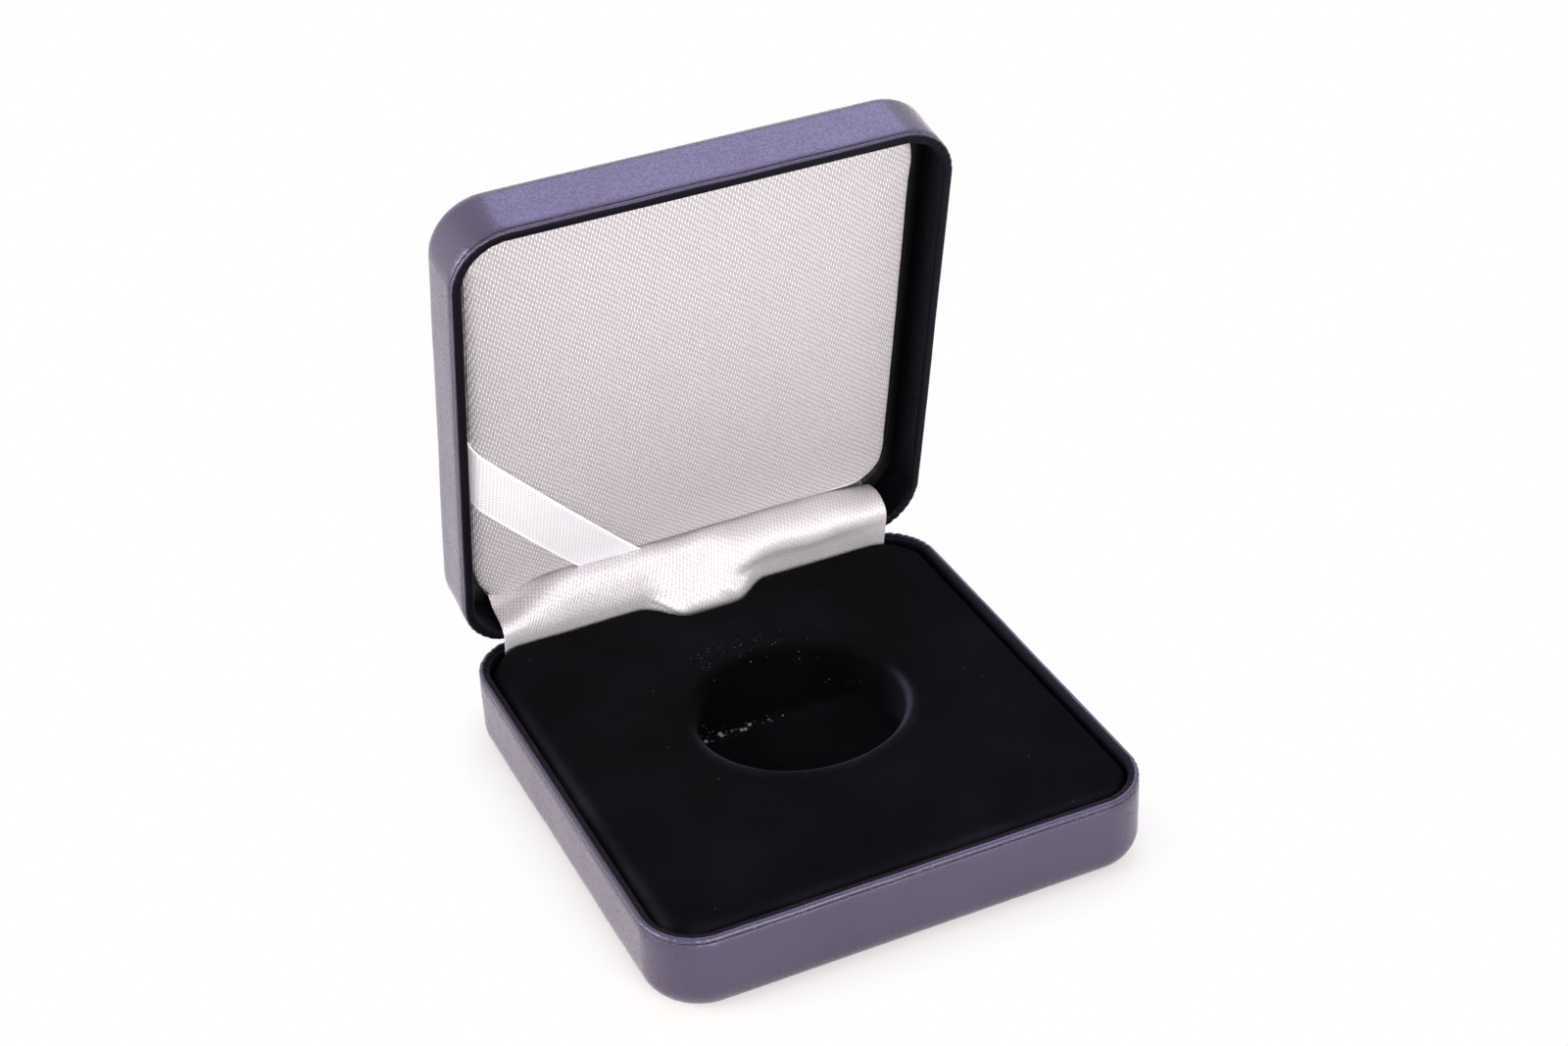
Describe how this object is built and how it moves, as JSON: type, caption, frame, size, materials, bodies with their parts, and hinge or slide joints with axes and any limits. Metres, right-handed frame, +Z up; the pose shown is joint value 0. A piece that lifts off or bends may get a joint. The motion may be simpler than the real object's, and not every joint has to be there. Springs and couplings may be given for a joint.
{
  "type": "coin capsule box",
  "caption": "Square hinged presentation box with leatherette-wrapped metal trays, satin lid pad with corner ribbon, and black velvet insert with a round capsule pocket.",
  "frame": {"origin": "centre of the base tray's flat underside", "axes": "+Z up, +X along the width to the right when seen from the front, the front faces -Y and the hinge runs along X at the rear; the lid is modelled open as pictured"},
  "size_m": [0.09, 0.1018, 0.1094],
  "materials": {
    "leatherette": "pearly violet-grey leatherette with a fine grain and a satin sheen",
    "steel": "plain pressed sheet steel",
    "spring_steel": "bright spring steel",
    "card": "grey board",
    "foam": "dark open-cell foam",
    "wadding": "white fibre wadding",
    "velvet": "black short-pile velvet",
    "satin": "white satin with a visible weave",
    "ribbon": "white satin ribbon with bright woven edges"
  },
  "bodies": {
    "base": {"base_shell": "steel", "base_cover": "leatherette", "base_floor_card": "card", "hinge_leaf_base": "steel", "hinge_pin": "steel", "snap_spring": "spring_steel", "spine_satin": "satin", "base_rivet_1": "steel", "base_rivet_2": "steel", "base_rivet_3": "steel", "base_rivet_4": "steel"},
    "insert": {"insert_foam": "foam", "insert_board": "card", "insert_velvet": "velvet", "recess_floor": "velvet"},
    "lid": {"lid_shell": "steel", "lid_cover": "leatherette", "hinge_leaf_lid": "steel", "lid_rivet_1": "steel", "lid_rivet_2": "steel", "lid_rivet_3": "steel", "lid_rivet_4": "steel", "lid_pad_board": "card", "lid_pad_wadding": "wadding", "lid_pad_satin": "satin", "corner_ribbon": "ribbon"}
  },
  "joints": [
    {"name": "lid_hinge", "type": "hinge", "parent": "base", "child": "lid", "pos_m": [0, 0.0452, 0.0185], "axis": [1, 0, 0], "range_deg": [0, 78], "deforming": ["snap_spring", "spine_satin"]},
    {"name": "insert_lift", "type": "slide", "parent": "base", "child": "insert", "axis": [0, 0, 1], "range_m": [0, 0.0025]}
  ]
}
